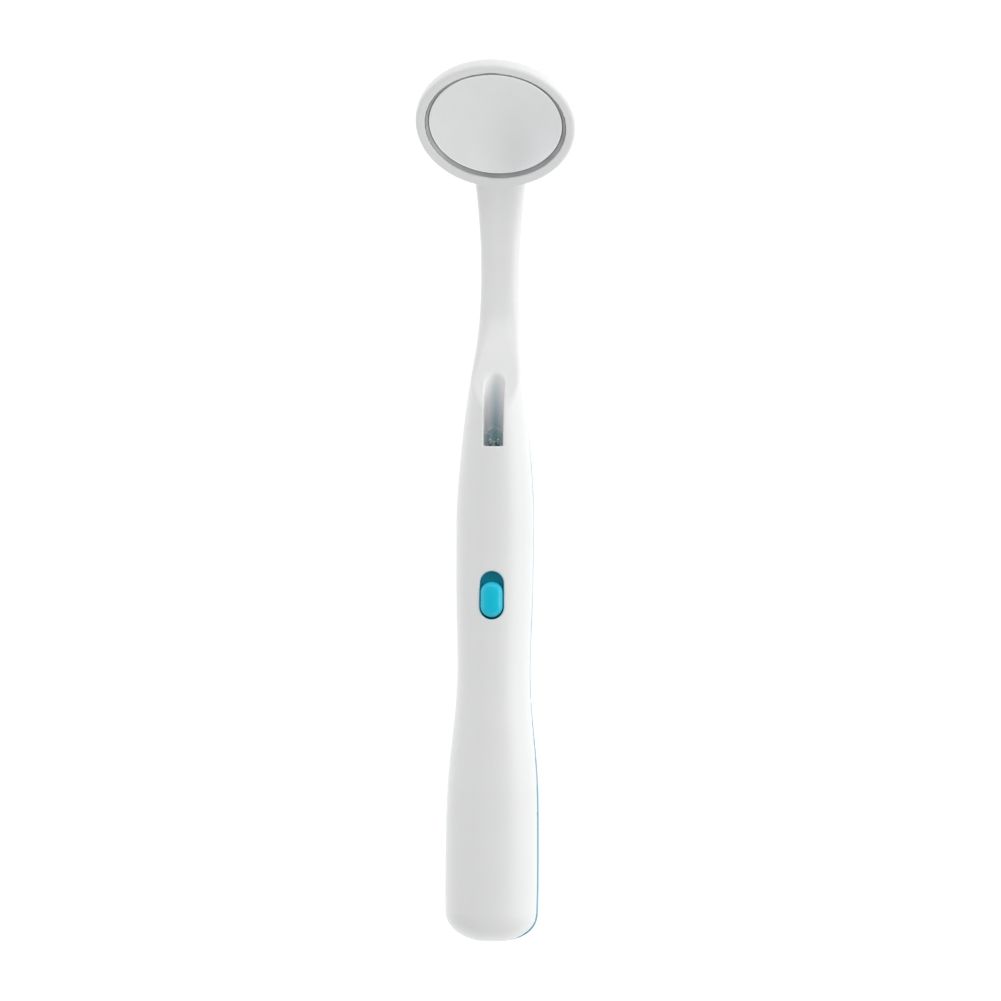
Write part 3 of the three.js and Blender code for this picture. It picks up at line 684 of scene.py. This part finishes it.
xs = grid_line(-9.2, 9.2, H)
zs = grid_line(-0.7, 11.2, H)
pts, quads, nrm = surface(battery_cover, xs, grid_line(-0.7, 46, H), zs, "battery_cover")
add("battery_cover_skin", mesh_from(pts, quads, "battery_cover_skin", nrm), "battery_door", blue.m, "battery_cover", slot_name="blue_shell")
print("cover", len(pts), len(quads))
pts, quads, nrm = surface(rear_shell, grid_line(-7.8, 7.8, H), grid_line(44.2, 116, H), grid_line(-0.7, 9.6, H), "rear_shell")
add("rear_shell_skin", mesh_from(pts, quads, "rear_shell_skin", nrm), "handle", blue.m, "rear_shell", slot_name="blue_shell")
print("rear", len(pts), len(quads))
HK = 0.12
pts, quads, nrm = surface(knob, grid_line(-3.5, 3.5, HK), grid_line(56.8, 71.2, HK), grid_line(12.0, 17.2, HK), "knob")
add("switch_knob_skin", mesh_from(pts, quads, "switch_knob_skin", nrm), "switch_slider", teal.m, "switch_knob", slot_name="teal_plastic")
print("knob", len(pts), len(quads))

# ------------------------------------------------------------------------------------------------
# Mirror
# ------------------------------------------------------------------------------------------------
D = -MIRROR_DOWN
glass = lathe([(0, D - MIRROR_T), (MIRROR_R - 0.1, D - MIRROR_T), (MIRROR_R, D - MIRROR_T + 0.1), (MIRROR_R, D - 0.22),
               *[(MIRROR_R - 0.22 + 0.22 * math.cos(math.radians(a)), D - 0.22 + 0.22 * math.sin(math.radians(a))) for a in (20, 45, 70)],
               (MIRROR_R - 0.22, D), (MIRROR_R - 0.5, D), (0, D)], 192, "mirror", "head", smooth=25)
add("mirror_disc", glass, "handle", mirror.m, "mirror_glass", slot_name="mirror_face")
F = -RECESS_D
ring = lathe([(MIRROR_R + 0.05, F + 0.08), (RECESS_R - 0.05, F + 0.08), (RECESS_R - 0.05, -0.24), (RECESS_R - 0.08, -0.17), (RECESS_R - 0.15, -0.16),
              (MIRROR_R + 0.44, -0.27), (MIRROR_R + 0.34, -0.42), (MIRROR_R + 0.24, -0.56), (MIRROR_R + 0.12, -0.66), (MIRROR_R + 0.06, -0.72), (MIRROR_R + 0.05, -0.8)], 192, "seal", "head", smooth=40)
add("mirror_seal_skin", ring, "handle", seal.m, "mirror_seal_ring", slot_name="grey_seal")

# ------------------------------------------------------------------------------------------------
# Lamp
# ------------------------------------------------------------------------------------------------
lens_mat = Mat("lamp_epoxy", Transmission_Weight=1.0, IOR=1.08)
lens_mat.colour(lens_mat.mix(lens_mat.ramp(lens_mat.noise(0.8, 2), 0.3, 0.7), (0.62, 0.78, 0.80), (0.70, 0.84, 0.86)))
lens_mat.rough(lens_mat.ramp(lens_mat.noise(1.5, 3), 0.3, 0.7, 0.20, 0.30))
lens = lathe([(0, 88.4), (1.8, 88.4), (1.8, 89.4), (LAMP_R, 89.4), (LAMP_R, 94.6),
              *[(LAMP_R * math.cos(math.radians(a)), 94.6 + LAMP_R * math.sin(math.radians(a))) for a in range(6, 90, 6)],
              (0, 96.1)], 64, "lamp", "s", (0, LAMP_Z), smooth=35)
add("lamp_lens_skin", lens, "handle", lens_mat.m, "lamp_lens", slot_name="lamp_epoxy")

def sweep(path, r, sides, name):
    """A round wire along a path of (x, s, z) points, closed at both ends."""
    path = [Vector(q) for q in path]
    bm = bmesh.new()
    tangent = (path[1] - path[0]).normalized()
    normal = tangent.orthogonal().normalized()
    rings = []
    for i, q in enumerate(path):
        a = path[max(i - 1, 0)]
        b = path[min(i + 1, len(path) - 1)]
        new = (b - a).normalized()
        normal = (tangent.rotation_difference(new) @ normal)
        normal = (normal - new * normal.dot(new)).normalized()
        tangent = new
        side = tangent.cross(normal)
        rings.append([bm.verts.new(q + normal * (r * math.cos(2 * math.pi * k / sides)) + side * (r * math.sin(2 * math.pi * k / sides)))
                      for k in range(sides)])
    for a, b in zip(rings, rings[1:]):
        for k in range(sides):
            bm.faces.new((a[k], a[(k + 1) % sides], b[(k + 1) % sides], b[k]))
    bm.faces.new(rings[0][::-1])
    bm.faces.new(rings[-1])
    bmesh.ops.recalc_face_normals(bm, faces=bm.faces)
    bm.transform(Matrix.Translation((0, -HALF, 0)))
    bm.transform(Matrix.Scale(MM, 4))
    for f in bm.faces:
        f.smooth = len(f.verts) == 4
    me = bpy.data.meshes.new(name)
    bm.to_mesh(me)
    bm.free()
    return me


plated = metal("tinned_lead", (0.72, 0.73, 0.75), 0.26, (0.3, 3, 3))

# the yellow dab over the chip, and the bright tops of the two posts, seen end-on through the lens
phosphor = Mat("phosphor_dab", Roughness=0.45)
phosphor.colour(phosphor.mix(phosphor.ramp(phosphor.noise(3.0, 3), 0.35, 0.65), (0.86, 0.70, 0.22), (0.93, 0.82, 0.42)))
phosphor.rough(phosphor.ramp(phosphor.noise(6.0, 2), 0.3, 0.7, 0.35, 0.6))
phosphor.bump(phosphor.noise(8.0, 2), 0.3, 0.00003)
dab = lathe([(0, 93.34), (0.30, 93.34), (0.33, 93.40), (0.26, 93.52), (0.12, 93.60), (0, 93.62)], 24, "dab", "s", (-0.1, LAMP_Z), smooth=60)
for side, px in (("left", -0.86), ("right", 0.80)):
    post = sweep([(px, 92.62, 12.35), (px, 93.2, 12.35), (px * 0.96, 93.7, 12.4), (px * 0.9, 93.95, 12.45)], 0.27, 12, "post")
    add("lamp_post_" + side, post, "handle", plated.m, slot_name="plated_lead")
add("lamp_phosphor_dab", dab, "handle", phosphor.m, slot_name="lamp_phosphor")


# ------------------------------------------------------------------------------------------------
# Finishes of the working parts, by the record's slots
# ------------------------------------------------------------------------------------------------
foam = Mat("foam_pad", Roughness=0.9)
cells = foam.noise(5.0, 5, 0.7)
foam.colour(foam.mix(foam.ramp(cells, 0.35, 0.65), (0.62, 0.59, 0.50), (0.80, 0.77, 0.69)))
foam.rough(foam.ramp(cells, 0.3, 0.7, 0.8, 0.95))
foam.bump(cells, 0.6, 0.0001)

steel = metal("brushed_steel", (0.60, 0.61, 0.62), 0.3, (3, 0.3, 3))
spring = metal("spring_wire", (0.56, 0.56, 0.57), 0.25, (4, 4, 4), 0.1)
brass = metal("contact_brass", (0.83, 0.62, 0.28), 0.28, (3, 0.3, 3))
nickel = metal("contact_nickel", (0.68, 0.66, 0.61), 0.25, (3, 0.3, 3))
cell_can = metal("cell_steel", (0.70, 0.71, 0.72), 0.2, (0.4, 3, 0.4))
black = moulded("black_nylon", (0.022, 0.022, 0.024), rough=0.45, vary=0.3, grain=0.4, scuff=0.15)
frame_plastic = moulded("frame_abs", (0.60, 0.61, 0.62), rough=0.45, vary=0.05, grain=0.3, scuff=0.1)
ferrite = moulded("ferrite_core", (0.05, 0.048, 0.047), rough=0.7, vary=0.3, grain=0.6)
ceramic = moulded("ceramic_body", (0.55, 0.44, 0.30), rough=0.5, vary=0.15, grain=0.4)
ivory = moulded("cell_washer", (0.75, 0.74, 0.68), rough=0.6, vary=0.1, grain=0.4)

board = Mat("board_laminate", IOR=1.5)
x_, y_, z_ = board.xyz()
weave = board.math("MULTIPLY", board.math("SINE", board.math("MULTIPLY", x_, 26.0)), board.math("SINE", board.math("MULTIPLY", y_, 26.0)))
lane = board.math("PINGPONG", board.math("ADD", x_, board.math("MULTIPLY", board.math("SINE", board.math("MULTIPLY", y_, 0.35)), 0.9)), 0.8)
track = board.ramp(lane, 0.22, 0.28)
dots = board.node("ShaderNodeTexVoronoi")
dots.inputs["Scale"].default_value = 0.62
board.link(board.p, dots.inputs["Vector"])
pad = board.ramp(dots.outputs["Distance"], 0.26, 0.22)
mask_green = board.mix(board.ramp(board.noise(0.7, 3), 0.3, 0.7), (0.012, 0.105, 0.045), (0.018, 0.14, 0.06))
over_track = board.mix(track, (0.03, 0.23, 0.10), mask_green)
board.colour(board.mix(pad, over_track, (0.72, 0.70, 0.66)))
board.link(board.ramp(pad, 0, 1, 0.0, 0.9), board.b.inputs["Metallic"])
board.rough(board.ramp(weave, -1, 1, 0.28, 0.36))
board.bump(board.math("ADD", board.math("MULTIPLY", weave, 0.15), board.math("SUBTRACT", pad, track)), 0.4, 0.00004)

# the cell's sleeve: graphite with a teal shoulder and a thin pale ring, no marks
sleeve = Mat("cell_sleeve", IOR=1.5)
x_, y_, z_ = sleeve.xyz()
band = sleeve.ramp(y_, 36.6 - HALF, 36.8 - HALF)
ring_line = sleeve.math("MULTIPLY", sleeve.ramp(y_, 35.7 - HALF, 35.8 - HALF), sleeve.ramp(y_, 36.3 - HALF, 36.2 - HALF))
shade = sleeve.noise(0.5, 4, 0.6)
dark = sleeve.mix(sleeve.ramp(shade, 0.3, 0.7), (0.045, 0.05, 0.055), (0.06, 0.066, 0.07))
two = sleeve.mix(band, dark, (0.03, 0.33, 0.42))
sleeve.colour(sleeve.mix(ring_line, two, (0.7, 0.72, 0.72)))
sleeve.rough(sleeve.ramp(sleeve.noise(1.0, 5, 0.7, stretch=(1, 0.2, 1)), 0.3, 0.75, 0.22, 0.42))
sleeve.bump(sleeve.noise(1.4, 3, 0.6), 0.12, 0.00005)

finish = {
    "white_shell": white, "blue_shell": blue, "teal_plastic": teal, "mirror_face": mirror, "adhesive_foam": foam,
    "grey_seal": seal, "lamp_epoxy": lens_mat, "lamp_phosphor": phosphor, "plated_lead": plated, "black_plastic": black,
    "frame_plastic": frame_plastic, "board_laminate": board, "ferrite": ferrite, "ceramic_chip": ceramic, "switch_steel": steel,
    "contact_brass": brass, "contact_plated": nickel, "spring_steel": spring, "cell_metal": cell_can, "cell_jacket": sleeve,
    "cell_insulator": ivory}
slots = {row["node"]: row["material_slot"] for row in frame["record"]["subparts"]}
for node, ob in frame["nodes"].items():
    ob.data.materials.clear()
    ob.data.materials.append(finish[slots[node]].m)
    weld = ob.modifiers.new("weld", "WELD")
    weld.merge_threshold = 1e-6
    if node in ("circuit_board", "inductor", "driver_chip", "capacitor", "resistor", "switch_housing", "switch_terminal_1",
                "switch_terminal_2", "switch_terminal_3", "positive_contact", "negative_contact", "lamp_holder", "inner_frame",
                "lamp_cathode_lead", "lamp_anode_lead", "switch_actuator", "switch_wiper"):
        bev = ob.modifiers.new("edges", "BEVEL")
        bev.width = 0.00004 if "lead" in node or "wiper" in node else 0.00008
        bev.segments = 2
        bev.limit_method = "ANGLE"
        bev.angle_limit = math.radians(40)

can = lathe([(0, 6.16), (3.0, 6.16), (3.25, 6.1), (4.55, 6.1), (4.9, 6.18), (5.06, 6.4), (5.1, 6.7), (5.1, 48.7), (5.06, 49.0), (4.9, 49.22), (4.6, 49.3),
             (3.0, 49.3), (2.8, 49.26), (0, 49.26)], 96, "can", "s", (0, CELL_Z), smooth=40)
add("battery_can_skin", can, "handle", cell_can.m, "battery_can", slot_name="cell_metal")
jacket = lathe([(5.13, 6.8), (5.09, 6.36), (4.93, 6.13), (4.72, 6.06), (4.74, 6.0), (5.0, 6.02), (5.19, 6.22), (5.25, 6.6), (5.25, 48.8), (5.19, 49.16),
                (5.0, 49.37), (4.74, 49.39), (4.72, 49.34), (4.93, 49.27), (5.09, 49.04), (5.13, 48.6)], 96, "jacket", "s", (0, CELL_Z), smooth=40)
add("battery_jacket_skin", jacket, "handle", sleeve.m, "battery_jacket", slot_name="cell_jacket")
cap = lathe([(0, 49.36), (2.2, 49.36), (2.2, 50.1), (2.12, 50.3), (1.9, 50.4), (0, 50.4)], 64, "cap", "s", (0, CELL_Z), smooth=40)
add("battery_cap_skin", cap, "handle", cell_can.m, "battery_positive_cap", slot_name="cell_metal")
turns, steps = 3.0, 132
coil = []
for i in range(steps + 1):
    u = i / steps
    a = 2 * math.pi * turns * u
    r = 3.05 + (1.8 - 3.05) * u
    coil.append((r * math.cos(a), 3.24 + (5.56 - 3.24) * u, CELL_Z + r * math.sin(a)))
add("negative_spring_skin", sweep(coil, 0.26, 12, "negative_spring_skin"), "handle", spring.m, "negative_spring", slot_name="spring_steel")

# ------------------------------------------------------------------------------------------------
# Floor, light
# ------------------------------------------------------------------------------------------------
floor = Mat("floor", Roughness=0.9)
floor.b.inputs["Specular IOR Level"].default_value = 0.1
floor.colour(floor.mix(floor.ramp(floor.noise(0.01, 3), 0.3, 0.7), (0.30, 0.30, 0.30), (0.31, 0.31, 0.31)))
floor.b.inputs["Emission Color"].default_value = (1, 1, 1, 1)
# far off towards the butt end the sweep falls away to grey, which is what the mirror shows from above
fx, fy, fz = floor.xyz()
floor.link(floor.ramp(fy, -350.0, -1500.0, 0.87, 0.46), floor.b.inputs["Emission Strength"])
bm = bmesh.new()
profile = [(0.5, 0), (1, 0), (2, 0), (4, 0), (5.2, 0)] + [(5.2 + 0.8 * math.sin(math.radians(a)), 0.8 - 0.8 * math.cos(math.radians(a))) for a in range(6, 91, 6)] + [(6.0, 1.1)]
rings = [[bm.verts.new((r * math.cos(2 * math.pi * k / 96), r * math.sin(2 * math.pi * k / 96), h)) for k in range(96)] for r, h in profile]
bm.faces.new(rings[0])
for a, b in zip(rings, rings[1:]):
    for k in range(96):
        bm.faces.new((a[k], b[k], b[(k + 1) % 96], a[(k + 1) % 96])).smooth = True
bmesh.ops.recalc_face_normals(bm, faces=bm.faces)
me = bpy.data.meshes.new("floor")
bm.to_mesh(me)
bm.free()
fl = bpy.data.objects.new("floor", me)
fl.location.z = -0.00005
scene.collection.objects.link(fl)
me.materials.append(floor.m)

world = bpy.data.worlds.new("studio")
scene.world = world
world.use_nodes = True
wt = world.node_tree
bg = wt.nodes["Background"]
tc = wt.nodes.new("ShaderNodeTexCoord")
sep = wt.nodes.new("ShaderNodeSeparateXYZ")
wt.links.new(tc.outputs["Generated"], sep.inputs[0])


def wmath(op, a, b=None, c=None):
    n = wt.nodes.new("ShaderNodeMath")
    n.operation = op
    for i, v in enumerate((a, b, c)):
        if v is None:
            continue
        if isinstance(v, (int, float)):
            n.inputs[i].default_value = v
        else:
            wt.links.new(v, n.inputs[i])
    return n.outputs[0]


# brighter from the head end and from the right, dim straight overhead where the camera hangs
rad = wmath("MULTIPLY_ADD", sep.outputs[0], 0.10, 0.66)
rad = wmath("MULTIPLY_ADD", sep.outputs[1], -0.02, rad)
top = wt.nodes.new("ShaderNodeMapRange")
top.interpolation_type = "SMOOTHSTEP"
top.inputs["From Min"].default_value = 0.70
top.inputs["From Max"].default_value = 0.97
top.inputs["To Min"].default_value = 1.0
top.inputs["To Max"].default_value = 0.22
wt.links.new(sep.outputs[2], top.inputs["Value"])
rad = wmath("MULTIPLY", rad, top.outputs["Result"])
comb = wt.nodes.new("ShaderNodeCombineXYZ")
for i in range(3):
    wt.links.new(rad, comb.inputs[i])
wt.links.new(comb.outputs[0], bg.inputs["Color"])
bg.inputs["Strength"].default_value = 1.0


def area(name, loc, size, watts, target=(0, 0, 0.008), colour=(1, 1, 1)):
    d = bpy.data.lights.new(name, "AREA")
    d.shape = "RECTANGLE"
    d.size, d.size_y = size
    d.energy = watts
    d.color = colour
    o = bpy.data.objects.new(name, d)
    scene.collection.objects.link(o)
    o.location = loc
    o.rotation_mode = "QUATERNION"
    o.rotation_quaternion = (Vector(target) - Vector(loc)).to_track_quat("-Z", "Y")
    return o


area("softbox_right", (0.9, 0.1, 0.5), (0.5, 0.9), 3.2)
area("softbox_left", (-0.9, 0.1, 0.55), (0.5, 0.9), 1.3)
area("softbox_head_end", (0.1, 1.0, 0.95), (1.0, 0.5), 4.1)
area("softbox_butt_end", (0.05, -0.5, 0.3), (0.6, 0.3), 0.25, target=(0, -0.08, 0.01))

scene.view_settings.view_transform = "Standard"
scene.view_settings.look = "None"
